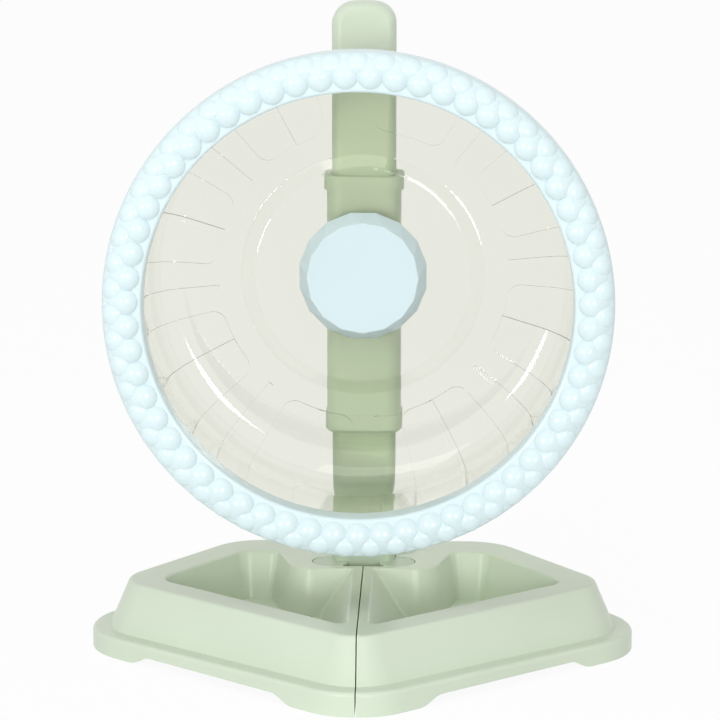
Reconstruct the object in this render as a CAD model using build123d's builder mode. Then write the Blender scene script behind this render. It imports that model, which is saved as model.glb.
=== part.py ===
from build123d import *
from math import cos, radians, sin
import os

# A free-standing running wheel for a small rodent, in millimetres. The floor is z = 0, the wheel turns about
# a line along Y, its open side faces -Y, and the stand is split down the middle, at x = 0.

# Stand: two mirror-image halves, each a moulded shell with a feeding trough
base_height = 29.5
base_wall = 2.2
front_corner_y = -80.5  # where the straight front edges would meet, before rounding
side_corner = (108.0, 7.5)
rear_corner = (60.0, 76.5)
front_corner_radius = 14.0
side_corner_radius = 17.0
rear_corner_radius = 25.0
wall_flare = 9.0  # how far the sloping wall runs out, from the rim down to the ledge
skirt_reach = 16.5  # how far the skirt stands out from the rim
ledge_height = 8.6  # top of the skirt at the sides and the back
ledge_rise = 1.9  # the ledge climbs this much more towards the front corner
ledge_rounding = 1.8
rim_rounding = 2.0
seam_gap = 0.5
foot_arch_height = 4.0
foot_arch_slope = 13.0
front_foot_reach = 20.0  # how far a foot runs along each edge of the outline from its corner
side_foot_front_reach = 24.0
side_foot_rear_reach = 26.0
rear_foot_side_reach = 22.0
rear_foot_reach = 14.0

# Trough, as its outline at the rim and how its walls lean in
trough_front_rim = 12.4
trough_side_rim = 15.0
trough_rear_y = 56.5
trough_depth = 21.0
trough_lean = 5.5
trough_seam_rim = 4.2
trough_seam_lean = 14.0
trough_neck = (39.0, 30.5)  # the wall that wraps the post's socket, at its rear and front ends
trough_neck_y = 27.5
trough_neck_lean = 0.6  # the neck's wall leans this share of the others
trough_rim_radii = (2.5, 9.0, 9.0, 5.0, 12.0, 2.0)  # from the front seam corner, anticlockwise
trough_floor_radii = (2.5, 4.0, 4.0, 2.5, 16.0, 2.0)
trough_edge_rounding = 1.3

# Post, with four round lobes at its foot that key the two halves of the stand together
post_width = 28.0
post_depth = 20.0
post_middle_y = 49.5
post_corner_radius = 4.4
post_wall = 2.2
post_top = 255.0
post_floor = 3.0
lobe_radius = 8.0
lobe_spread = 15.0  # from the seam to a lobe's centre
lobe_gap = 0.25
socket_recess_width = 18.0
socket_recess_depth = 8.5

# Post cap
cap_height = 24.0
cap_shoulder_radius = 9.5
cap_crown = 2.2
cap_plug_length = 9.0
cap_plug_gap = 0.1
cap_plug_wall = 1.8

# Sleeve that slides on the post and carries the wheel
slide_gap = 0.3
sleeve_wall = 2.0
sleeve_bottom = 89.0
sleeve_top = 203.8
collar_height = 6.3
collar_reach = 1.2
foot_collar_height = 8.0
foot_collar_reach = 0.7
boss_radius = 9.0
boss_length = 2.0
spigot_length = 1.2
spigot_wall = 1.4
edge_rounding = 0.6

# Wheel's axle and two ball bearings of the common 5 x 16 x 5 size
axle_height = 161.5
axle_radius = 2.5
axle_head_across_flats = 8.0
axle_head_thickness = 1.7
bearing_bore_radius = 2.5
bearing_outer_radius = 8.0
bearing_width = 5.0
race_wall = 1.7
ball_radius = 1.39
ball_count = 7
ball_gap = 0.03
cage_thickness = 1.0
cage_width = 3.5
cage_pocket_gap = 0.08
shield_thickness = 0.25
shield_setback = 0.1
shield_gap = 0.08
bearing_spacing = 1.0
spacer_wall = 1.1
shim_thickness = 0.5
shim_radius = 4.2
clip_thickness = 0.6
clip_groove_depth = 0.5
clip_reach = 1.9
axle_nose = 0.6

# Hub housing that holds the bearings, screwed to the drum
hub_wall = 3.0
hub_shoulder = 0.9
hub_flange_radius = 22.0
hub_flange_thickness = 2.4
hub_setback = 5.0  # from the rear bearing's back face to the drum's back plate
screw_circle_radius = 16.5
screw_count = 4
screw_radius = 1.45
screw_length = 6.0
screw_head_radius = 2.8
screw_head_height = 1.9
screw_boss_wall = 1.6
screw_hole_gap = 0.15

# Hub cap, a drum of triangular facets between two sixteen-sided outlines
cap_sides = 16
cap_front_radius = 24.2
cap_rear_radius = 28.2
cap_depth = 7.5
cap_shell = 1.6
cap_rounding = 0.5
cap_collar_wall = 1.7

# Clear drum
drum_wall = 2.0
drum_depth = 78.5  # from the back plate to the front lip, inside
drum_lip_radius = 98.0  # outside, at the front lip
drum_draft = 1.3
drum_corner_radius = 18.0
plate_step = 2.5  # the back plate's middle stands forward by this much
plate_step_inner_radius = 47.0
plate_step_outer_radius = 53.0
rib_count = 16
rib_width = 2.0
rib_height = 0.9
rib_inner_radius = 63.3
rib_offset_angle = 5.3  # the top rib leans this far to the left
pad_count = 8
pad_angle = 27.0
pad_inner_radius = 63.6
pad_rounding = 6.0
pad_height = 0.8
pad_end = 12.0  # the pads stop this far short of the lip

# Front ring, a channel that caps the drum's lip, with a crown of radial pods
ring_radius = 105.0
ring_inner_radius = 88.3
ring_wall = 1.9
ring_depth = 11.0
ring_seat = 2.1  # from the ring's front wall to the drum's lip
ring_web = 1.6
ring_web_setback = 1.5
ring_outer_rounding = 4.2
ring_inner_rounding = 1.6
ring_channel_gap = 0.1
pod_count = 59
pod_inner_radius = 89.6
pod_outer_radius = 104.4
pod_half_width = 5.1
pod_proud = 3.0

# Height lock: a knob at the back drives a screw and a pad against the post
lock_height = 118.0
lock_boss_radius = 8.5
lock_boss_length = 6.0
lock_screw_radius = 2.5
lock_thread_gap = 0.04
insert_radius = 4.0
insert_length = 5.0
pad_radius = 4.5
pad_thickness = 1.5
pad_guide_gap = 0.15
pad_rest_gap = 0.3
knob_radius = 11.5
knob_thickness = 9.0
knob_gap = 1.0
knob_flutes = 8
knob_flute_radius = 3.0
knob_screw_depth = 6.0
lock_travel = 0.8  # what one turn of the knob draws the pad back
lock_tip_gap = 0.05

# Places along the axle's line, stacked forwards from the post
post_front_y = post_middle_y - post_depth / 2
post_rear_y = post_middle_y + post_depth / 2
sleeve_inner_front_y = post_front_y - slide_gap
sleeve_front_y = sleeve_inner_front_y - sleeve_wall
sleeve_rear_y = post_rear_y + slide_gap + sleeve_wall
boss_front_y = sleeve_front_y - boss_length
race_seat_y = boss_front_y - spigot_length
rear_bearing_y = race_seat_y - bearing_width / 2
front_bearing_y = rear_bearing_y - bearing_width - bearing_spacing
shim_front_y = front_bearing_y - bearing_width / 2 - shim_thickness
clip_front_y = shim_front_y - clip_thickness
axle_front_y = clip_front_y - axle_nose
plate_rear_y = race_seat_y - hub_setback
plate_front_y = plate_rear_y - drum_wall
cap_front_y = plate_front_y - cap_depth
drum_lip_y = plate_front_y - drum_depth
ring_front_y = drum_lip_y - ring_seat - ring_wall
ring_back_y = ring_front_y + ring_depth

axle_line = Axis((0, 0, axle_height), (0, 1, 0))
wheel_section = Plane(origin=(0, 0, axle_height), x_dir=(0, 1, 0), z_dir=(1, 0, 0))


def station(y):
    """A plane across the axle at depth y, facing the viewer, with its origin on the axle's line."""
    return Plane(origin=(0, y, axle_height), x_dir=(1, 0, 0), z_dir=(0, -1, 0))


def lock_station(y):
    """The same across the lock screw's line."""
    return Plane(origin=(0, y, lock_height), x_dir=(1, 0, 0), z_dir=(0, -1, 0))


def save(part, name):
    """Labels a finished piece and writes it to its own file."""
    part.label = name
    export_step(part, f"parts/{name}.step")


def turned(*outline):
    """A ring or disc turned about the axle's line, from (y, radius) corners."""
    with BuildPart() as piece:
        with BuildSketch(wheel_section):
            with BuildLine():
                Polyline(*outline, close=True)
            make_face()
        revolve(axis=axle_line)
    return piece.part


os.makedirs("parts", exist_ok=True)

# Base halves. The outline is drawn once for the whole stand and grown outwards for the wall and the skirt.


def base_plan(height, grow):
    """The stand's outline at a height, grown outwards from the rim's outline."""
    corners = [(0, front_corner_y), side_corner, rear_corner]
    corners += [(-rear_corner[0], rear_corner[1]), (-side_corner[0], side_corner[1])]
    radii = [front_corner_radius, side_corner_radius, rear_corner_radius]
    radii += [rear_corner_radius, side_corner_radius]
    with BuildSketch(Plane.XY.offset(height)) as plan:
        with BuildLine():
            FilletPolyline(*corners, radius=radii, close=True)
        make_face()
        if grow:
            offset(amount=grow, kind=Kind.ARC)
    return plan.sketch


def flare_at(height):
    """How far the sloping wall stands out from the rim's outline at a height."""
    return wall_flare * (base_height - height) / (base_height - ledge_height)


def edge_line(start, end, inset):
    """A plan line parallel to an edge of the stand and inset from it, as slope and intercept."""
    slope = (end[1] - start[1]) / (end[0] - start[0])
    length = (1 + slope**2) ** 0.5
    towards_middle = 1 if slope > 0 else -1
    return slope, start[1] - slope * start[0] + towards_middle * inset * length


def crossing(first, second):
    """Where two plan lines, each a slope and an intercept, meet."""
    x = (second[1] - first[1]) / (first[0] - second[0])
    return x, first[0] * x + first[1]


def trough_plan(height, lean, seam_lean, grow):
    """The right-hand trough's outline at a height. lean is how far its walls have come in there."""
    front_edge = edge_line((0, front_corner_y), side_corner, trough_front_rim + lean)
    side_edge = edge_line(side_corner, rear_corner, trough_side_rim + lean)
    seam_x = seam_gap / 2 + trough_seam_rim + seam_lean
    rear_y = trough_rear_y - lean
    side = crossing(front_edge, side_edge)
    rear = ((rear_y - side_edge[1]) / side_edge[0], rear_y)
    neck_rear = (trough_neck[0] + trough_neck_lean * lean, rear_y)
    neck_front = (trough_neck[1] + trough_neck_lean * lean, trough_neck_y - lean)
    seam_rear = (seam_x, trough_neck_y - lean)
    seam_front = (seam_x, front_edge[0] * seam_x + front_edge[1])
    shrink = lean / trough_lean
    radii = [rim + shrink * (floor - rim) for rim, floor in zip(trough_rim_radii, trough_floor_radii)]
    with BuildSketch(Plane.XY.offset(height)) as plan:
        with BuildLine():
            FilletPolyline(seam_front, side, rear, neck_rear, neck_front, seam_rear, radius=radii, close=True)
        make_face()
        if grow:
            offset(amount=grow, kind=Kind.ARC)
    return plan.sketch


def trough_form(grow, top, floor):
    """A tapered block that fills the trough, or its outer skin where grow is the wall."""
    shrink = (base_height - floor) / trough_depth
    above = (top - base_height) / trough_depth
    upper = trough_plan(top, -above * trough_lean, -above * trough_seam_lean, grow)
    lower = trough_plan(floor, shrink * trough_lean, shrink * trough_seam_lean, grow)
    with BuildPart() as form:
        loft([lower.face(), upper.face()], ruled=True)
    return form.part


def socket_form(grow, bottom, top):
    """The space for the post's foot and its four lobes, and the recess in front of it."""
    with BuildSketch(Plane.XY.offset(bottom)) as plan:
        with Locations((0, post_middle_y)):
            Rectangle(post_width + 2 * lobe_gap, post_depth + 2 * lobe_gap)
            with GridLocations(2 * lobe_spread, post_depth, 2, 2):
                Circle(lobe_radius + lobe_gap)
        with Locations((0, post_front_y)):
            Rectangle(socket_recess_width, socket_recess_depth, align=(Align.CENTER, Align.MAX))
        if grow:
            offset(amount=grow, kind=Kind.ARC)
    with BuildPart() as form:
        add(plan.sketch)
        extrude(amount=top - bottom)
    return form.part


def foot_arch(start, end, from_start, from_end):
    """Cuts the skirt's lower edge up into an arch between two feet, along one straight edge of the plan."""
    along = Vector(end[0] - start[0], end[1] - start[1], 0)
    span = along.length
    outwards = along.normalized().cross(Vector(0, 0, 1))
    origin = Vector(start[0], start[1], 0) + outwards * (skirt_reach + base_wall)
    arch_end = span - from_end
    crown_start = (from_start + foot_arch_slope, foot_arch_height)
    crown_end = (arch_end - foot_arch_slope, foot_arch_height)
    with BuildPart() as arch:
        with BuildSketch(Plane(origin=origin, x_dir=along, z_dir=outwards)):
            with BuildLine():
                Spline((from_start, 0), crown_start, tangents=((1, 0), (1, 0)))
                Line(crown_start, crown_end)
                Spline(crown_end, (arch_end, 0), tangents=((1, 0), (1, 0)))
                Polyline((arch_end, 0), (arch_end, -base_wall), (from_start, -base_wall), (from_start, 0))
            make_face()
        extrude(amount=-skirt_reach)
    return arch.part


trough_cup = trough_form(base_wall, base_height, base_height - trough_depth - base_wall)
trough_space = trough_form(0, base_height + 1, base_height - trough_depth)
socket_block = socket_form(base_wall, 0, base_height)
socket_space = socket_form(0, post_floor, base_height + 1)
hollow_top = base_height - base_wall
ledge_under = ledge_height - base_wall
half_plane = Plane.YZ.offset(seam_gap / 2)

with BuildPart() as base_hollow:
    hollow_foot = base_plan(ledge_under, flare_at(ledge_under) - base_wall)
    loft([hollow_foot.face(), base_plan(hollow_top, -base_wall).face()], ruled=True)
    add(base_plan(-1, skirt_reach - base_wall))
    extrude(amount=ledge_under + 1)
    split(bisect_by=half_plane.offset(base_wall), keep=Keep.TOP)
    add(trough_cup, mode=Mode.SUBTRACT)
    add(socket_block, mode=Mode.SUBTRACT)

with BuildPart() as base_skirt:
    add(base_plan(0, skirt_reach))
    extrude(amount=ledge_height + ledge_rise)
    with BuildSketch(Plane.YZ):
        with BuildLine():
            front_y = front_corner_y - skirt_reach
            rear_y = rear_corner[1] + skirt_reach
            Polyline(
                (front_y, 0),
                (front_y, ledge_height + ledge_rise),
                (side_corner[1], ledge_height),
                (rear_y, ledge_height),
                (rear_y, 0),
                close=True,
            )
        make_face()
    extrude(amount=side_corner[0] + 2 * skirt_reach, both=True, mode=Mode.INTERSECT)
    ledge_faces = base_skirt.faces().filter_by(lambda face: face.normal_at().Z > 0.9)
    ledge_edges = ledge_faces.edges()
    fillet([edge for edge in ledge_edges if ledge_edges.count(edge) == 1], radius=ledge_rounding)

with BuildPart() as base_right:
    loft([base_plan(ledge_under, flare_at(ledge_under)).face(), base_plan(base_height, 0).face()], ruled=True)
    rim_edges = base_right.faces().sort_by(Axis.Z)[-1].edges()
    fillet(rim_edges, radius=rim_rounding)
    add(base_skirt.part)
    split(bisect_by=half_plane, keep=Keep.TOP)
    add(base_hollow.part, mode=Mode.SUBTRACT)
    add(trough_space, mode=Mode.SUBTRACT)
    add(socket_space, mode=Mode.SUBTRACT)
    top_faces = base_right.faces().filter_by(Plane.XY).sort_by(Axis.Z)
    fillet(top_faces[-1].inner_wires()[0].edges(), radius=trough_edge_rounding)
    front_corner = (0, front_corner_y)
    rear_middle = (0, rear_corner[1])
    add(foot_arch(front_corner, side_corner, front_foot_reach, side_foot_front_reach), mode=Mode.SUBTRACT)
    add(foot_arch(side_corner, rear_corner, side_foot_rear_reach, rear_foot_side_reach), mode=Mode.SUBTRACT)
    add(foot_arch(rear_corner, rear_middle, rear_foot_reach, rear_foot_reach), mode=Mode.SUBTRACT)
save(base_right.part, "base_right")

base_left = mirror(base_right.part, about=Plane.YZ)
save(base_left, "base_left")

# Post: a rounded square tube whose foot drops into the sockets, where its four lobes key the halves together


def post_outline(height, grow):
    """The post's rounded outline at a height, grown outwards by a gap or a wall."""
    with BuildSketch(Plane.XY.offset(height)) as outline:
        with Locations((0, post_middle_y)):
            RectangleRounded(
                post_width + 2 * grow,
                post_depth + 2 * grow,
                post_corner_radius + grow,
            )
    return outline.sketch


with BuildPart() as post:
    with Locations((0, post_middle_y, post_floor)):
        with GridLocations(2 * lobe_spread, post_depth, 2, 2):
            Cylinder(lobe_radius, base_height - post_floor, align=(Align.CENTER, Align.CENTER, Align.MIN))
    fillet(post.faces().filter_by(Plane.XY).group_by(Axis.Z)[-1].edges(), radius=edge_rounding)
    add(post_outline(post_floor, 0))
    extrude(amount=post_top - post_floor)
    with Locations((0, post_middle_y, post_floor)):
        with GridLocations(2 * lobe_spread, post_depth, 2, 2):
            Cylinder(
                lobe_radius - post_wall,
                base_height - post_floor - post_wall,
                align=(Align.CENTER, Align.CENTER, Align.MIN),
                mode=Mode.SUBTRACT,
            )
    add(post_outline(post_floor, -post_wall))
    extrude(amount=post_top - post_floor, mode=Mode.SUBTRACT)
save(post.part, "post")

with BuildPart() as post_cap:
    half = post_width / 2
    cap_top = post_top + cap_height
    with BuildSketch(Plane.XZ.offset(-post_front_y)) as cap_front:
        with BuildLine():
            shoulder_z = cap_top - cap_crown
            Polyline((-half, shoulder_z), (-half, post_top), (half, post_top), (half, shoulder_z))
            ThreePointArc((half, shoulder_z), (0, cap_top), (-half, shoulder_z))
        make_face()
        fillet(cap_front.vertices().group_by(Axis.Y)[-1], radius=cap_shoulder_radius)
    extrude(amount=-post_depth)
    rims = post_cap.faces().filter_by(Axis.Y).edges()
    seam = post_cap.faces().sort_by(Axis.Z)[0].edges()
    fillet([edge for edge in rims if edge not in seam], radius=post_corner_radius - 0.01)
    add(post_outline(post_top - cap_plug_length, -post_wall - cap_plug_gap))
    extrude(amount=cap_plug_length)
    add(post_outline(post_top - cap_plug_length, -post_wall - cap_plug_gap - cap_plug_wall))
    extrude(amount=cap_plug_length + cap_height / 2, mode=Mode.SUBTRACT)
save(post_cap.part, "post_cap")

# Sleeve: slides on the post, with a collar at each end, the axle's boss in front and the lock's boss behind
with BuildPart() as sleeve:
    add(post_outline(sleeve_bottom, slide_gap + sleeve_wall))
    extrude(amount=sleeve_top - sleeve_bottom)
    add(post_outline(sleeve_top - collar_height, slide_gap + sleeve_wall + collar_reach))
    extrude(amount=collar_height)
    add(post_outline(sleeve_bottom, slide_gap + sleeve_wall + foot_collar_reach))
    extrude(amount=foot_collar_height)
    ends = sleeve.faces().filter_by(Plane.XY)
    fillet(ends.sort_by(Axis.Z)[-1].edges(), radius=edge_rounding)
    chamfer(ends.sort_by(Axis.Z)[0].edges(), length=2 * foot_collar_reach)
    with BuildSketch(station(sleeve_front_y + sleeve_wall / 2)):
        Circle(boss_radius)
    extrude(amount=boss_length + sleeve_wall / 2)
    with BuildSketch(station(boss_front_y)):
        Circle(bearing_bore_radius + spigot_wall)
    extrude(amount=spigot_length)
    with BuildSketch(lock_station(sleeve_rear_y - sleeve_wall / 2)):
        Circle(lock_boss_radius)
    extrude(amount=-lock_boss_length - sleeve_wall / 2)
    add(post_outline(sleeve_bottom, slide_gap))
    extrude(amount=sleeve_top - sleeve_bottom, mode=Mode.SUBTRACT)
    head_seat_y = sleeve_inner_front_y - axle_head_thickness - slide_gap / 2
    with BuildSketch(station(sleeve_inner_front_y)):
        RegularPolygon(axle_head_across_flats / 2, 6, major_radius=False)
    extrude(amount=sleeve_inner_front_y - head_seat_y, mode=Mode.SUBTRACT)
    with BuildSketch(station(head_seat_y)):
        Circle(axle_radius)
    extrude(amount=head_seat_y - race_seat_y, mode=Mode.SUBTRACT)
    guide_rear_y = post_rear_y + pad_rest_gap + pad_thickness + lock_travel + pad_rest_gap
    with BuildSketch(lock_station(post_rear_y)):
        Circle(pad_radius + pad_guide_gap)
    extrude(amount=post_rear_y - guide_rear_y, mode=Mode.SUBTRACT)
    with BuildSketch(lock_station(post_rear_y)):
        Circle(lock_screw_radius + pad_guide_gap)
    extrude(amount=-lock_boss_length - sleeve_wall - slide_gap, mode=Mode.SUBTRACT)
    with BuildSketch(lock_station(sleeve_rear_y + lock_boss_length)):
        Circle(insert_radius)
    extrude(amount=insert_length, mode=Mode.SUBTRACT)
save(sleeve.part, "sleeve")

# Axle, pressed into the sleeve from behind, with a groove near its nose for the clip
with BuildPart() as axle:
    with BuildSketch(station(head_seat_y + axle_head_thickness)):
        RegularPolygon(axle_head_across_flats / 2, 6, major_radius=False)
    extrude(amount=axle_head_thickness)
    with BuildSketch(station(head_seat_y)):
        Circle(axle_radius)
    extrude(amount=head_seat_y - axle_front_y)
    chamfer(axle.faces().sort_by(Axis.Y)[0].edges(), length=axle_nose / 2)
    add(
        turned(
            (clip_front_y, axle_radius - clip_groove_depth),
            (clip_front_y, axle_radius + 1),
            (shim_front_y, axle_radius + 1),
            (shim_front_y, axle_radius - clip_groove_depth),
        ),
        mode=Mode.SUBTRACT,
    )
save(axle.part, "axle")

with BuildPart() as axle_clip:
    with BuildSketch(station(shim_front_y)):
        Circle(axle_radius + clip_reach)
        Circle(axle_radius - clip_groove_depth, mode=Mode.SUBTRACT)
        Rectangle(
            2 * (axle_radius - clip_groove_depth) * 0.9,
            axle_radius + clip_reach,
            align=(Align.CENTER, Align.MAX),
            mode=Mode.SUBTRACT,
        )
    extrude(amount=clip_thickness)
save(axle_clip.part, "axle_clip")

shim_back_y = shim_front_y + shim_thickness
axle_shim = turned(
    (shim_front_y, axle_radius), (shim_front_y, shim_radius),
    (shim_back_y, shim_radius), (shim_back_y, axle_radius),
)
save(axle_shim, "axle_shim")

spacer_front_y = front_bearing_y + bearing_width / 2
spacer_back_y = spacer_front_y + bearing_spacing
spacer_radius = axle_radius + spacer_wall
bearing_spacer = turned(
    (spacer_front_y, axle_radius), (spacer_front_y, spacer_radius),
    (spacer_back_y, spacer_radius), (spacer_back_y, axle_radius),
)
save(bearing_spacer, "bearing_spacer")

# Ball bearings
pitch_radius = (bearing_bore_radius + bearing_outer_radius) / 2


def race(middle, inner, outer):
    """One race: a ring with the balls' groove turned into it."""
    with BuildPart() as ring:
        with BuildSketch(wheel_section):
            with Locations((middle, (inner + outer) / 2)):
                Rectangle(bearing_width, outer - inner)
            with Locations((middle, pitch_radius)):
                Circle(ball_radius + ball_gap, mode=Mode.SUBTRACT)
        revolve(axis=axle_line)
    return ring.part


def bearing_pieces(middle):
    """A shielded ball bearing about the axle, as its separate pieces by name."""
    with BuildPart(station(middle)) as balls:
        with PolarLocations(pitch_radius, ball_count):
            Sphere(ball_radius)
    with BuildPart() as cage:
        with BuildSketch(wheel_section):
            with Locations((middle, pitch_radius)):
                Rectangle(cage_width, cage_thickness)
        revolve(axis=axle_line)
        for turn in range(ball_count):
            angle = radians(360 / ball_count * turn)
            outwards = (cos(angle), 0, sin(angle))
            with BuildSketch(Plane(station(middle).origin, x_dir=(0, 1, 0), z_dir=outwards)):
                Circle(ball_radius + cage_pocket_gap)
            extrude(amount=bearing_outer_radius, mode=Mode.SUBTRACT)
    with BuildPart() as shields:
        for side in (-1, 1):
            outside = middle + side * (bearing_width / 2 - shield_setback)
            inside = outside - side * shield_thickness
            low = bearing_bore_radius + race_wall + shield_gap
            high = bearing_outer_radius - race_wall
            add(turned((outside, low), (outside, high), (inside, high), (inside, low)))
    return {
        "inner_race": race(middle, bearing_bore_radius, bearing_bore_radius + race_wall),
        "outer_race": race(middle, bearing_outer_radius - race_wall, bearing_outer_radius),
        "balls": balls.part,
        "cage": cage.part,
        "shields": shields.part,
    }


for place, middle in (("front", front_bearing_y), ("rear", rear_bearing_y)):
    for piece_name, piece in bearing_pieces(middle).items():
        save(piece, f"{place}_bearing_{piece_name}")

# Hub housing behind the drum's back plate, and the screws that hold it from the front
hub_radius = bearing_outer_radius + hub_wall
hub_front_y = front_bearing_y - bearing_width / 2
screw_places = PolarLocations(screw_circle_radius, screw_count, start_angle=180 / screw_count)
with BuildPart() as hub_housing:
    add(
        turned(
            (hub_front_y, bearing_outer_radius),
            (hub_front_y, hub_radius),
            (plate_rear_y, hub_radius),
            (plate_rear_y, hub_flange_radius),
            (plate_rear_y + hub_flange_thickness, hub_flange_radius),
            (plate_rear_y + hub_flange_thickness, hub_radius),
            (race_seat_y, hub_radius),
            (race_seat_y, bearing_outer_radius),
            (spacer_back_y, bearing_outer_radius),
            (spacer_back_y, bearing_outer_radius - hub_shoulder),
            (spacer_front_y, bearing_outer_radius - hub_shoulder),
            (spacer_front_y, bearing_outer_radius),
        )
    )
    with BuildSketch(station(plate_rear_y)):
        with screw_places:
            Circle(screw_radius + screw_boss_wall)
    extrude(amount=plate_rear_y - race_seat_y)
    with BuildSketch(station(plate_rear_y)):
        with screw_places:
            Circle(screw_radius)
    extrude(amount=drum_wall - screw_length, mode=Mode.SUBTRACT)
save(hub_housing.part, "hub_housing")

with BuildPart() as hub_screws:
    with BuildSketch(station(plate_front_y)):
        with screw_places:
            Circle(screw_radius)
    extrude(amount=-screw_length)
    with BuildSketch(station(plate_front_y)):
        with screw_places:
            Circle(screw_head_radius)
    extrude(amount=screw_head_height)
    fillet(hub_screws.faces().filter_by(Axis.Y).group_by(Axis.Y)[0].edges(), radius=screw_head_height / 2)
save(hub_screws.part, "hub_screws")

# Hub cap. Two sixteen-sided tapers, turned half a side apart, meet in a band of triangular facets.
half_side = 180 / cap_sides
mitre = cos(radians(half_side))


def cap_taper(front_size, rear_size, turn):
    """A sixteen-sided taper from the cap's rear edge to its face, sized across its flats."""
    with BuildPart() as taper:
        with BuildSketch(station(plate_front_y)):
            RegularPolygon(rear_size, cap_sides, major_radius=False, rotation=turn)
        with BuildSketch(station(cap_front_y)):
            RegularPolygon(front_size, cap_sides, major_radius=False, rotation=turn)
        loft()
    return taper.part


with BuildPart() as hub_cap:
    add(cap_taper(cap_front_radius * mitre, cap_rear_radius, 0))
    add(cap_taper(cap_front_radius, cap_rear_radius * mitre, half_side), mode=Mode.INTERSECT)
    fillet(hub_cap.faces().sort_by(Axis.Y)[0].edges(), radius=cap_rounding)
    with BuildSketch(station(plate_front_y)):
        Circle(cap_front_radius * mitre - cap_shell)
    extrude(amount=cap_depth - cap_shell, mode=Mode.SUBTRACT)
    with BuildSketch(station(cap_front_y + cap_shell)):
        Circle(hub_radius + cap_collar_wall)
        Circle(hub_radius, mode=Mode.SUBTRACT)
    extrude(amount=-(cap_depth - cap_shell) + screw_head_height / 2)
save(hub_cap.part, "hub_cap")

# Clear drum: a turned shell with a large rounded corner, a stepped back plate, raised pads and grip ribs
outer_plate_y = plate_rear_y + plate_step
inner_plate_y = plate_front_y + plate_step
corner_radius_outside = drum_lip_radius - drum_draft


def wall_path(across_y, radius, start_radius, end_y, shift):
    """The drum's profile from a place on the back plate, round the corner and along the wall."""
    slope = drum_draft / drum_depth
    end_radius = radius + slope * (across_y - end_y)
    return FilletPolyline(
        (across_y, start_radius), (across_y, radius), (end_y, end_radius), radius=drum_corner_radius + shift
    )


def drum_band(across_y, radius, end_y, shift):
    """A turned band that straddles the drum's inside or outside surface where the pads lie."""
    with BuildPart() as band:
        with BuildSketch(wheel_section):
            with BuildLine() as path:
                wall_path(across_y, radius, pad_inner_radius - 1, end_y, shift)
            trace(path.edges(), line_width=2 * pad_height)
        revolve(axis=axle_line)
    return band.part


with BuildSketch() as pad_plan:
    low, high, lean = pad_inner_radius, ring_radius, radians(pad_angle / 2)
    with BuildLine():
        Polyline(
            (low * cos(lean), low * sin(lean)),
            (high * cos(lean), high * sin(lean)),
            (high * cos(lean), -high * sin(lean)),
            (low * cos(lean), -low * sin(lean)),
        )
        ThreePointArc((low * cos(lean), -low * sin(lean)), (low, 0), (low * cos(lean), low * sin(lean)))
    make_face()
    fillet(pad_plan.vertices().group_by(Axis.X)[0], radius=pad_rounding)

pad_end_y = drum_lip_y + pad_end
with BuildPart() as pad_columns:
    with BuildSketch(station(outer_plate_y + drum_wall)):
        with PolarLocations(0, pad_count, start_angle=90 + rib_offset_angle + 180 / pad_count):
            add(pad_plan.sketch)
    extrude(amount=outer_plate_y + drum_wall - pad_end_y)

with BuildPart() as drum_rib:
    with BuildSketch(wheel_section):
        with BuildLine() as rib_path:
            inner_radius = corner_radius_outside - drum_wall
            wall_path(inner_plate_y, inner_radius, rib_inner_radius, pad_end_y, -drum_wall)
        trace(rib_path.edges(), line_width=2 * rib_height)
    extrude(amount=rib_width / 2, both=True)

outside_pads = drum_band(outer_plate_y, corner_radius_outside, pad_end_y, 0) & pad_columns.part
inside_pads = drum_band(inner_plate_y, inner_radius, pad_end_y, -drum_wall) & pad_columns.part

with BuildPart() as drum:
    with BuildSketch(wheel_section) as section:
        with BuildLine():
            Polyline(
                (plate_front_y, hub_radius),
                (plate_front_y, plate_step_inner_radius),
                (inner_plate_y, plate_step_outer_radius),
                (inner_plate_y, inner_radius),
                (drum_lip_y, drum_lip_radius - drum_wall),
                (drum_lip_y, drum_lip_radius),
                (outer_plate_y, corner_radius_outside),
                (outer_plate_y, plate_step_outer_radius),
                (plate_rear_y, plate_step_inner_radius),
                (plate_rear_y, hub_radius),
                close=True,
            )
        make_face()
        corners = section.vertices()
        fillet(corners.sort_by_distance((outer_plate_y, corner_radius_outside))[0], radius=drum_corner_radius)
        inside_corner = section.vertices().sort_by_distance((inner_plate_y, inner_radius))[0]
        fillet(inside_corner, radius=drum_corner_radius - drum_wall)
        steps = [v for v in section.vertices() if abs(v.Y - plate_step_inner_radius) < 0.01]
        steps += [v for v in section.vertices() if abs(v.Y - plate_step_outer_radius) < 0.01]
        fillet(steps, radius=drum_wall)
    revolve(axis=axle_line)
    add(outside_pads)
    add(inside_pads, mode=Mode.SUBTRACT)
    for turn in range(rib_count):
        add(drum_rib.part.rotate(axle_line, 360 / rib_count * turn - rib_offset_angle))
    with BuildSketch(station(plate_front_y)):
        with screw_places:
            Circle(screw_radius + screw_hole_gap)
    extrude(amount=-drum_wall, mode=Mode.SUBTRACT)
save(drum.part, "drum")

# Front ring: a moulded channel pressed over the drum's lip, with a crown of lemon-shaped pods on its face
lip_inside = drum_lip_radius - drum_wall
with BuildPart() as ring_pod:
    pod_axis_y = ring_front_y + pod_half_width - pod_proud
    with BuildSketch(station(pod_axis_y)):
        with BuildLine():
            Line((0, pod_inner_radius), (0, pod_outer_radius))
            pod_middle = (pod_inner_radius + pod_outer_radius) / 2
            ThreePointArc((0, pod_outer_radius), (pod_half_width, pod_middle), (0, pod_inner_radius))
        make_face()
    revolve(axis=Axis((0, pod_axis_y, axle_height), (0, 0, 1)))
    split(bisect_by=Plane.XZ.offset(-ring_front_y - ring_wall / 2), keep=Keep.TOP)

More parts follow.
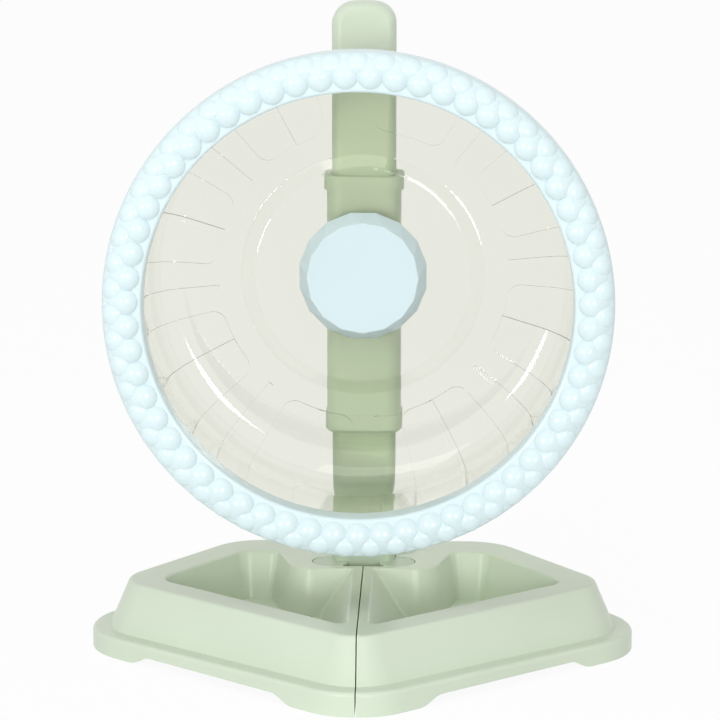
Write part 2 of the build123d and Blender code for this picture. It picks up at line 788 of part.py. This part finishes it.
with BuildPart() as front_ring:
    with BuildSketch(wheel_section) as ring_section:
        with BuildLine():
            Polyline(
                (ring_back_y, ring_inner_radius),
                (ring_front_y, ring_inner_radius),
                (ring_front_y, ring_radius),
                (ring_back_y, ring_radius),
                close=True,
            )
        make_face()
        front_corners = ring_section.vertices().group_by(Axis.X)[0].sort_by(Axis.Y)
        fillet(front_corners[0], radius=ring_inner_rounding)
        fillet(ring_section.vertices().group_by(Axis.X)[0].sort_by(Axis.Y)[-1], radius=ring_outer_rounding)
        with BuildLine():
            Polyline(
                (ring_back_y, ring_inner_radius + ring_wall),
                (ring_front_y + ring_wall, ring_inner_radius + ring_wall),
                (ring_front_y + ring_wall, ring_radius - ring_wall),
                (ring_back_y, ring_radius - ring_wall),
                close=True,
            )
        make_face(mode=Mode.SUBTRACT)
        web_back_y = ring_back_y - ring_web_setback
        with BuildLine():
            Polyline(
                (web_back_y, lip_inside - ring_channel_gap - ring_web),
                (ring_front_y + ring_wall / 2, lip_inside - ring_channel_gap - ring_web),
                (ring_front_y + ring_wall / 2, drum_lip_radius + ring_channel_gap + ring_web),
                (web_back_y, drum_lip_radius + ring_channel_gap + ring_web),
                (web_back_y, drum_lip_radius + ring_channel_gap),
                (drum_lip_y, drum_lip_radius + ring_channel_gap),
                (drum_lip_y, lip_inside - ring_channel_gap),
                (web_back_y, lip_inside - ring_channel_gap),
                close=True,
            )
        make_face()
    revolve(axis=axle_line)
    for turn in range(pod_count):
        add(ring_pod.part.rotate(axle_line, 360 / pod_count * turn))
save(front_ring.part, "front_ring")

# Height lock behind the sleeve
with BuildPart() as lock_insert:
    with BuildSketch(lock_station(sleeve_rear_y + lock_boss_length)):
        Circle(insert_radius)
        Circle(lock_screw_radius + lock_thread_gap, mode=Mode.SUBTRACT)
    extrude(amount=insert_length)
save(lock_insert.part, "lock_insert")

pad_front_y = post_rear_y + pad_rest_gap
with BuildPart() as lock_pad:
    with BuildSketch(lock_station(pad_front_y + pad_thickness)):
        Circle(pad_radius)
    extrude(amount=pad_thickness)
    fillet(lock_pad.faces().sort_by(Axis.Y)[0].edges(), radius=pad_thickness / 4)
save(lock_pad.part, "lock_pad")

screw_tip_y = pad_front_y + pad_thickness + lock_tip_gap
knob_front_y = sleeve_rear_y + lock_boss_length + knob_gap
with BuildPart() as lock_screw:
    with BuildSketch(lock_station(screw_tip_y)):
        Circle(lock_screw_radius)
    extrude(amount=screw_tip_y - knob_front_y - knob_screw_depth)
save(lock_screw.part, "lock_screw")

with BuildPart() as lock_knob:
    with BuildSketch(lock_station(knob_front_y)) as knob_plan:
        Circle(knob_radius)
        with PolarLocations(knob_radius + knob_flute_radius / 2, knob_flutes):
            Circle(knob_flute_radius, mode=Mode.SUBTRACT)
        fillet(knob_plan.vertices(), radius=edge_rounding)
    extrude(amount=-knob_thickness)
    fillet(lock_knob.faces().sort_by(Axis.Y)[-1].edges(), radius=edge_rounding)
    with BuildSketch(lock_station(knob_front_y)):
        Circle(lock_screw_radius)
    extrude(amount=-knob_screw_depth, mode=Mode.SUBTRACT)
save(lock_knob.part, "lock_knob")
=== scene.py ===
# %% [markdown]
# A free-standing running wheel for a small rodent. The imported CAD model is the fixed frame: every piece
# below stands where the CAD says, in metres, with Z up and the wheel's open side towards -Y.

# %% Load the frame
from math import pi, radians

import bmesh
import bpy
from mathutils import Matrix, Vector


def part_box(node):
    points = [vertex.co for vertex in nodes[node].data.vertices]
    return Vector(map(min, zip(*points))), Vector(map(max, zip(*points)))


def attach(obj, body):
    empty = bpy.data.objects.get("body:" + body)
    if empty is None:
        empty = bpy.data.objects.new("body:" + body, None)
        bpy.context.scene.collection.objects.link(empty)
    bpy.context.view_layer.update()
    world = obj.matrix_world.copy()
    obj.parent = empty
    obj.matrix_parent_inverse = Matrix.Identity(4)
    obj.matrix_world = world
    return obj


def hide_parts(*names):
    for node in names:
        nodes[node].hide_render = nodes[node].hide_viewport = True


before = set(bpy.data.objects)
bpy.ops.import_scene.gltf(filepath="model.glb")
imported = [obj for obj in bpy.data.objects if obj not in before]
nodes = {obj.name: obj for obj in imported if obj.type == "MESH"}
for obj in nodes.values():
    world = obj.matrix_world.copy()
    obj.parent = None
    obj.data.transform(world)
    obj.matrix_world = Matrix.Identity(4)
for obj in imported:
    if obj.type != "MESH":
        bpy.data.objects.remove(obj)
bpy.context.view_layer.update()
MM = 0.001

# %% [markdown]
# The camera stands where the photographer stood: a long lens, a little above the wheel, a hair to the right.
# A long lens keeps the wheel's rim nearly round. The lens and the place were fitted to the rim's ellipse and
# to the stand's outline, so they are kept as plain numbers.

# %% Camera
LENS = 143.07
CAMERA_PLACE = Vector((32.8, -1202.06, 368.69)) * MM
LOOKS_DOWN = radians(11.253)
LOOKS_LEFT = radians(1.59)
camera_data = bpy.data.cameras.new("camera")
camera_data.lens = LENS
camera_data.sensor_width = 36
camera = bpy.data.objects.new("camera", camera_data)
camera.location = CAMERA_PLACE
camera.rotation_euler = (pi / 2 - LOOKS_DOWN, 0, LOOKS_LEFT)
bpy.context.collection.objects.link(camera)
bpy.context.scene.camera = camera
print("lens, mm:", camera_data.lens)

# %% [markdown]
# All the materials are built from a few blocks: a noise in the object's own coordinates, a soft mix of two
# colours, a map from one range to another, and a bump. The coordinates are moved to the piece's centre, so
# the pattern belongs to the piece and nothing slides when the camera moves.

# %% Node helpers


def add_node(tree, kind, links=(), **settings):
    """Adds a shader node, sets its named sockets and joins (socket, output) pairs to it."""
    node = tree.nodes.new(kind)
    for name, value in settings.items():
        node.inputs[name.replace("_", " ")].default_value = value
    for socket, output in links:
        tree.links.new(output, node.inputs[socket])
    return node


def new_material(name):
    """A new material, its node tree and its main shader."""
    material = bpy.data.materials.new(name)
    material.use_nodes = True
    return material, material.node_tree, material.node_tree.nodes["Principled BSDF"]


def centred_coordinates(tree, centre):
    """Object coordinates with their origin moved to the piece's centre."""
    place = tree.nodes.new("ShaderNodeTexCoord")
    mapping = add_node(tree, "ShaderNodeMapping", [("Vector", place.outputs["Object"])])
    mapping.inputs["Location"].default_value = [-value for value in centre]
    return mapping.outputs["Vector"]


def noise(tree, vector, scale, detail, roughness=0.5):
    """A soft noise with values from 0 to 1. A larger scale makes a finer pattern."""
    node = add_node(tree, "ShaderNodeTexNoise", [("Vector", vector)],
                    Scale=scale, Detail=detail, Roughness=roughness)
    return node.outputs["Fac"]


def two_tone(tree, value, dark, light):
    """A soft mix of two close colours."""
    ramp = add_node(tree, "ShaderNodeValToRGB", [("Fac", value)])
    for stop, position, colour in zip(ramp.color_ramp.elements, (0.3, 0.7), (dark, light)):
        stop.position = position
        stop.color = (*[min(1, channel) for channel in colour], 1)
    return ramp.outputs["Color"]


def spread(tree, value, source, target):
    """Maps a value from the source range to the target range."""
    node = add_node(tree, "ShaderNodeMapRange", [("Value", value)], From_Min=source[0],
                    From_Max=source[1], To_Min=target[0], To_Max=target[1])
    return node.outputs["Result"]


def add_bump(tree, shader, height, strength, distance):
    """Tilts the shader's surface as if a height of up to the distance, in metres, lay on it."""
    node = add_node(tree, "ShaderNodeBump", [("Height", height)], Strength=strength, Distance=distance)
    tree.links.new(node.outputs["Normal"], shader.inputs["Normal"])


def mix_shaders(tree, share, first, second):
    """Two shaders in one: a share of 0 gives the first and 1 the second."""
    mix = tree.nodes.new("ShaderNodeMixShader")
    for socket, output in zip(mix.inputs, (share, first, second)):
        tree.links.new(output, socket)
    return mix.outputs["Shader"]


print("node helpers ready")

# %% Places and colours


def middle_of(*names):
    """The centre of the box round some CAD nodes."""
    corners = [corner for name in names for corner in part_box(name)]
    low = [min(corner[i] for corner in corners) for i in range(3)]
    high = [max(corner[i] for corner in corners) for i in range(3)]
    return [(a + b) / 2 for a, b in zip(low, high)]


def linear(red, green, blue):
    """A colour as picked from the photo, 0 to 255, turned into the linear values that shaders use."""
    values = [value / 255 for value in (red, green, blue)]
    return tuple(v / 12.92 if v <= 0.04045 else ((v + 0.055) / 1.055) ** 2.4 for v in values)


print("wheel's middle, mm:", [round(value / MM, 1) for value in middle_of("front_ring", "drum")])

# %% [markdown]
# A moulded plastic is never one flat colour. Pigment flows unevenly in the mould, the mould's polished steel
# leaves faint waves, and handling dulls the gloss in patches. Three soft noises do this: a wide one for the
# colour, a middling one for the roughness, and a fine one for the bump.

# %% Moulded plastic


def moulded_plastic(name, colour, centre, roughness=0.3, unevenness=0.02):
    """An opaque moulded plastic: uneven pigment, faint waves and patchy gloss."""
    material, tree, shader = new_material(name)
    shader.inputs["IOR"].default_value = 1.49
    vector = centred_coordinates(tree, centre)
    dark = [value * (1 - unevenness) for value in colour]
    light = [value * (1 + unevenness) for value in colour]
    pigment = two_tone(tree, noise(tree, vector, 22, 2), dark, light)
    tree.links.new(pigment, shader.inputs["Base Color"])
    gloss = spread(tree, noise(tree, vector, 40, 1), (0.1, 0.9), (roughness - 0.04, roughness + 0.05))
    tree.links.new(gloss, shader.inputs["Roughness"])
    add_bump(tree, shader, noise(tree, vector, 140, 1), strength=0.05, distance=0.0002)
    return material


stand_middle = middle_of("base_left", "base_right", "post", "post_cap")
sage_base = moulded_plastic("sage_base", linear(205, 217, 197), stand_middle)
# The post has a darker copy of the cap's sage: this is painted shade for the shade the wheel casts on the
# post.
sage_post_painted_shade = moulded_plastic("sage_post_painted_shade", linear(184, 199, 178), middle_of("post"), 0.34)
sage_cap = moulded_plastic("sage_cap", linear(205, 218, 197), middle_of("post_cap"), 0.34)
sage_sleeve = moulded_plastic("sage_sleeve", linear(188, 203, 184), middle_of("sleeve"), 0.36)
sage_knob = moulded_plastic("sage_knob", linear(202, 214, 194), middle_of("lock_knob"), 0.4)
blue_ring = moulded_plastic("pale_blue_ring", linear(212, 229, 232), middle_of("front_ring"), 0.22, 0.01)
blue_hub = moulded_plastic("pale_blue_hub", linear(214, 232, 238), middle_of("hub_cap"), 0.3, 0.01)
nylon = moulded_plastic("cage_nylon", (0.7, 0.66, 0.52), middle_of("front_bearing_cage"), 0.45)
print("materials:", len(bpy.data.materials))

# %% [markdown]
# The drum is clear polystyrene with a faint smoky warmth. Light bends where it enters and leaves, and the tint
# is met at both skins. Cycles finds no lamp through bent light, so a shadow ray meets a transparent shader
# instead and the lamps still reach what is behind. A slow, shallow bump gives the ripple of a moulded sheet.

# %% Clear plastic


def clear_plastic(name, tint, centre):
    """A clear, polished plastic that lets the lamps through."""
    material, tree, shader = new_material(name)
    shader.inputs["Transmission Weight"].default_value = 1
    shader.inputs["IOR"].default_value = 1.5
    vector = centred_coordinates(tree, centre)
    dark = [value * 0.985 for value in tint]
    light = [value * 1.01 for value in tint]
    tree.links.new(two_tone(tree, noise(tree, vector, 9, 2), dark, light), shader.inputs["Base Color"])
    scuffs = spread(tree, noise(tree, vector, 120, 5, 0.7), (0.4, 0.8), (0.01, 0.06))
    tree.links.new(scuffs, shader.inputs["Roughness"])
    add_bump(tree, shader, noise(tree, vector, 30, 1, 0.4), strength=0.06, distance=0.0006)
    through = add_node(tree, "ShaderNodeBsdfTransparent")
    through.inputs["Color"].default_value = (*tint, 1)
    rays = tree.nodes.new("ShaderNodeLightPath")
    surface = mix_shaders(tree, rays.outputs["Is Shadow Ray"], shader.outputs["BSDF"], through.outputs["BSDF"])
    tree.links.new(surface, tree.nodes["Material Output"].inputs["Surface"])
    return material


smoky_clear = clear_plastic("smoky_clear", (0.817, 0.826, 0.75), middle_of("drum"))
print("materials:", len(bpy.data.materials))

# %% [markdown]
# The hidden works are metal: ground steel races, balls, axle and screws, and a turned brass insert. Turning
# and grinding leave fine rings about the axle's line, so the bump is a noise that is squeezed along Y.

# %% Metals


def turned_metal(name, colour, centre, roughness):
    """A ground or turned metal with fine marks across the Y axis."""
    material, tree, shader = new_material(name)
    shader.inputs["Metallic"].default_value = 1
    shader.inputs["Base Color"].default_value = (*colour, 1)
    squeeze = add_node(tree, "ShaderNodeMapping", [("Vector", centred_coordinates(tree, centre))])
    squeeze.inputs["Scale"].default_value = (1, 30, 1)
    marks = noise(tree, squeeze.outputs["Vector"], 150, 3)
    gloss = spread(tree, marks, (0, 1), (roughness - 0.06, roughness + 0.1))
    tree.links.new(gloss, shader.inputs["Roughness"])
    add_bump(tree, shader, marks, strength=0.1, distance=0.0001)
    return material


steel = turned_metal("ground_steel", (0.62, 0.62, 0.63), middle_of("axle"), 0.28)
brass = turned_metal("turned_brass", (0.72, 0.5, 0.22), middle_of("lock_insert"), 0.3)
print("materials:", len(bpy.data.materials))

# %% [markdown]
# Each CAD node takes the finish of its piece, and steel is what is left. The shapes stay as the CAD made them,
# so only the material changes.

# %% Finishes for the CAD nodes
finishes = {
    "base_left": sage_base, "base_right": sage_base, "post": sage_post_painted_shade, "post_cap": sage_cap,
    "sleeve": sage_sleeve, "lock_knob": sage_knob, "lock_pad": sage_knob, "hub_cap": blue_hub,
    "hub_housing": blue_hub, "front_ring": blue_ring, "drum": smoky_clear, "lock_insert": brass,
    "front_bearing_cage": nylon, "rear_bearing_cage": nylon,
}
for name, piece in nodes.items():
    piece.data.materials.clear()
    piece.data.materials.append(finishes.get(name, steel))
print("finished nodes:", len(nodes))

# %% [markdown]
# The front ring is a channel that caps the drum's lip. Its crown is two rows of lobes like laid teeth: the
# inner row points outwards, the outer row points inwards, and each lobe's narrow end lies between two of the
# other row. The channel is a section with rounded front corners, spun about the axle. One lobe of each row is
# an egg made from a sphere, cut flat inside the front wall, and spun as copies. Sizes are in millimetres:
# distances along Y from the frame's origin, and radii from the axle.

# %% The ring's section
AXLE = Vector((0, 0, 161.5 * MM))
ALONG_AXLE = (0, 1, 0)
RING_FRONT = -55.5
RING_BACK = -44.5
RING_INNER = 88.3
RING_OUTER = 105.0
RING_WALL = 1.9
INNER_ROUNDING = 1.6
OUTER_ROUNDING = 4.2
LIP_FRONT = -51.5
LIP_INNER = 95.9
LIP_OUTER = 98.1
WEB = 1.6
WEB_BACK = -46.0
wall_back = RING_FRONT + RING_WALL
ring_corners = [
    (RING_BACK, RING_INNER), (RING_FRONT, RING_INNER), (RING_FRONT, RING_OUTER), (RING_BACK, RING_OUTER),
    (RING_BACK, RING_OUTER - RING_WALL), (wall_back, RING_OUTER - RING_WALL),
    (wall_back, LIP_OUTER + WEB), (WEB_BACK, LIP_OUTER + WEB), (WEB_BACK, LIP_OUTER),
    (LIP_FRONT, LIP_OUTER), (LIP_FRONT, LIP_INNER), (WEB_BACK, LIP_INNER), (WEB_BACK, LIP_INNER - WEB),
    (wall_back, LIP_INNER - WEB), (wall_back, RING_INNER + RING_WALL), (RING_BACK, RING_INNER + RING_WALL),
]
ring = bmesh.new()
corners = [ring.verts.new(AXLE + Vector((0, y, radius)) * MM) for y, radius in ring_corners]
ring.faces.new(corners)
for corner, rounding in ((corners[1], INNER_ROUNDING), (corners[2], OUTER_ROUNDING)):
    bmesh.ops.bevel(ring, geom=[corner], offset=rounding * MM, segments=8, profile=0.5,
                    affect="VERTICES", material=-1)
print("section corners:", len(ring.verts))

# %% Spin the section
LOBES = 59
bmesh.ops.delete(ring, geom=ring.faces[:], context="FACES_ONLY")
bmesh.ops.spin(ring, geom=ring.verts[:] + ring.edges[:], cent=AXLE, axis=ALONG_AXLE, angle=2 * pi,
               steps=4 * LOBES, use_merge=True)
print("channel faces:", len(ring.faces))

# %% [markdown]
# An egg is a sphere that gets thinner towards one end: its width and depth shrink with the height above its
# middle. The plane that cuts it lies in the middle of the front wall, so a lobe and the wall share no face.

# %% Lobes
LOBE_DEPTH = 5.0
LOBE_CUT = RING_FRONT + RING_WALL / 2
LOBE_TAPER = 0.34  # how much of its width a lobe has lost at its narrow end


def add_lobes(middle, half_width, half_length, proud, towards, turn):
    """One row of egg-shaped lobes. Their narrow ends point outwards for towards=1 and inwards for -1."""
    egg = bmesh.ops.create_uvsphere(ring, u_segments=32, v_segments=20, radius=1)["verts"]
    for vert in egg:
        x, y, z = vert.co
        pinch = 1 - LOBE_TAPER * max(0, z * towards)
        vert.co = (x * half_width * pinch, y * LOBE_DEPTH * pinch, z * half_length)
    bmesh.ops.scale(ring, verts=egg, vec=(MM, MM, MM))
    seat = AXLE + Vector((0, RING_FRONT - proud + LOBE_DEPTH, middle)) * MM
    bmesh.ops.translate(ring, verts=egg, vec=seat)
    faces = list({face for vert in egg for face in vert.link_faces})
    geometry = egg + faces + list({edge for face in faces for edge in face.edges})
    cut = bmesh.ops.bisect_plane(ring, geom=geometry, dist=1e-7, plane_co=(0, LOBE_CUT * MM, 0),
                                 plane_no=ALONG_AXLE, clear_outer=True)
    rim = [item for item in cut["geom_cut"] if isinstance(item, bmesh.types.BMEdge)]
    lid = bmesh.ops.edgeloop_fill(ring, edges=rim)["faces"]
    kept = [item for item in cut["geom"] if item.is_valid] + lid
    verts = list({vert for item in kept if isinstance(item, bmesh.types.BMFace) for vert in item.verts})
    bmesh.ops.rotate(ring, verts=verts, cent=AXLE, matrix=Matrix.Rotation(turn, 3, "Y"))
    whole = verts + list({edge for vert in verts for edge in vert.link_edges})
    whole += list({face for vert in verts for face in vert.link_faces})
    bmesh.ops.spin(ring, geom=whole, cent=AXLE, axis=ALONG_AXLE, angle=2 * pi * (LOBES - 1) / LOBES,
                   steps=LOBES - 1, use_duplicate=True)


half_pitch = pi / LOBES
add_lobes(middle=96.3, half_width=6.4, half_length=7.2, proud=3.0, towards=1, turn=half_pitch)
add_lobes(middle=98.6, half_width=6.8, half_length=6.4, proud=2.2, towards=-1, turn=0)
bmesh.ops.recalc_face_normals(ring, faces=ring.faces[:])
print("ring faces:", len(ring.faces))

# %% Finish the ring
SHARP_ANGLE = radians(50)
ring_mesh = bpy.data.meshes.new("lobed_ring")
ring.to_mesh(ring_mesh)
ring.free()
for face in ring_mesh.polygons:
    face.use_smooth = True
ring_mesh.set_sharp_from_angle(angle=SHARP_ANGLE)
lobed_ring = bpy.data.objects.new("lobed_ring", ring_mesh)
bpy.context.collection.objects.link(lobed_ring)
lobed_ring.data.materials.append(blue_ring)
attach(lobed_ring, "wheel")
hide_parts("front_ring")
print("ring box, mm:", [round(value / MM, 1) for value in lobed_ring.dimensions])

# %% [markdown]
# A photo studio for plastic: a white sweep, a broad lamp overhead, and a small softbox on each side, whose
# mirror images make the bright crescents in the drum's rounded corner. The lamps stay at a plain level, so
# that a colour renders about as it is written. The white behind the object comes from Light Path: camera,
# glossy and transmission rays see plain white, and all other rays see a softer sky. The floor does the same,
# and keeps a small share of its lit surface, so that the object's shadow still shows.

# %% World
SKY_LIGHT = 0.62


def seen_rays(tree):
    """1 for camera, glossy and transmission rays, and 0 for the rays that light other surfaces."""
    rays = tree.nodes.new("ShaderNodeLightPath")
    seen = rays.outputs["Is Camera Ray"]
    for kind in ("Is Glossy Ray", "Is Transmission Ray"):
        larger = tree.nodes.new("ShaderNodeMath")
        larger.operation = "MAXIMUM"
        tree.links.new(seen, larger.inputs[0])
        tree.links.new(rays.outputs[kind], larger.inputs[1])
        seen = larger.outputs["Value"]
    return seen


world = bpy.data.worlds.new("studio")
bpy.context.scene.world = world
world.use_nodes = True
sky = world.node_tree
sky.nodes.clear()
lighting = add_node(sky, "ShaderNodeBackground", Color=(1, 1, 1, 1), Strength=SKY_LIGHT)
backdrop = add_node(sky, "ShaderNodeBackground", Color=(1, 1, 1, 1), Strength=1)
shown = mix_shaders(sky, seen_rays(sky), lighting.outputs["Background"], backdrop.outputs["Background"])
add_node(sky, "ShaderNodeOutputWorld", [("Surface", shown)])
bpy.context.scene.view_settings.view_transform = "Standard"
print("world nodes:", len(sky.nodes))

# %% Floor
FLOOR_HALF = 12
GLOW_SHARE = 0.94


def sweep_material():
    """A white floor that shows as white and still takes the object's soft shadow."""
    material, tree, shader = new_material("white_sweep")
    shader.inputs["Base Color"].default_value = (0.9, 0.9, 0.9, 1)
    shader.inputs["Roughness"].default_value = 0.9
    shader.inputs["Specular IOR Level"].default_value = 0
    glow = add_node(tree, "ShaderNodeEmission", Strength=1)
    share = tree.nodes.new("ShaderNodeMath")
    share.operation = "MULTIPLY"
    share.inputs[1].default_value = GLOW_SHARE
    tree.links.new(seen_rays(tree), share.inputs[0])
    surface = mix_shaders(tree, share.outputs["Value"], shader.outputs["BSDF"], glow.outputs["Emission"])
    tree.links.new(surface, tree.nodes["Material Output"].inputs["Surface"])
    return material


floor_shape = bmesh.new()
bmesh.ops.create_grid(floor_shape, x_segments=1, y_segments=1, size=FLOOR_HALF)
floor_mesh = bpy.data.meshes.new("floor")
floor_shape.to_mesh(floor_mesh)
floor_shape.free()
floor = bpy.data.objects.new("floor", floor_mesh)
bpy.context.collection.objects.link(floor)
floor.data.materials.append(sweep_material())
print("floor size, m:", round(floor.dimensions.x))

# %% Lamps


def softbox(name, place, target, width, height, power):
    """A rectangular lamp at a place, turned to face a target. Metres and watts."""
    data = bpy.data.lights.new(name, "AREA")
    data.shape = "RECTANGLE"
    data.size = width
    data.size_y = height
    data.energy = power
    lamp = bpy.data.objects.new(name, data)
    lamp.location = place
    lamp.rotation_euler = (Vector(target) - Vector(place)).to_track_quat("-Z", "Y").to_euler()
    bpy.context.collection.objects.link(lamp)
    return lamp


above_base = (0, -0.05, 0.05)
wheel_middle = (0, -0.02, 0.15)
overhead = softbox("overhead_lamp", (-0.25, -0.95, 1.35), above_base, 1.1, 0.8, 7)
overhead.visible_glossy = False  # so this lamp has no mirror image in the drum
softbox("left_softbox", (-0.6, -1.26, 0.23), wheel_middle, 0.2, 0.24, 3.8)
softbox("right_softbox", (0.41, -1.38, 0.28), wheel_middle, 0.25, 0.3, 3.5)
print("lamps:", len(bpy.data.lights))
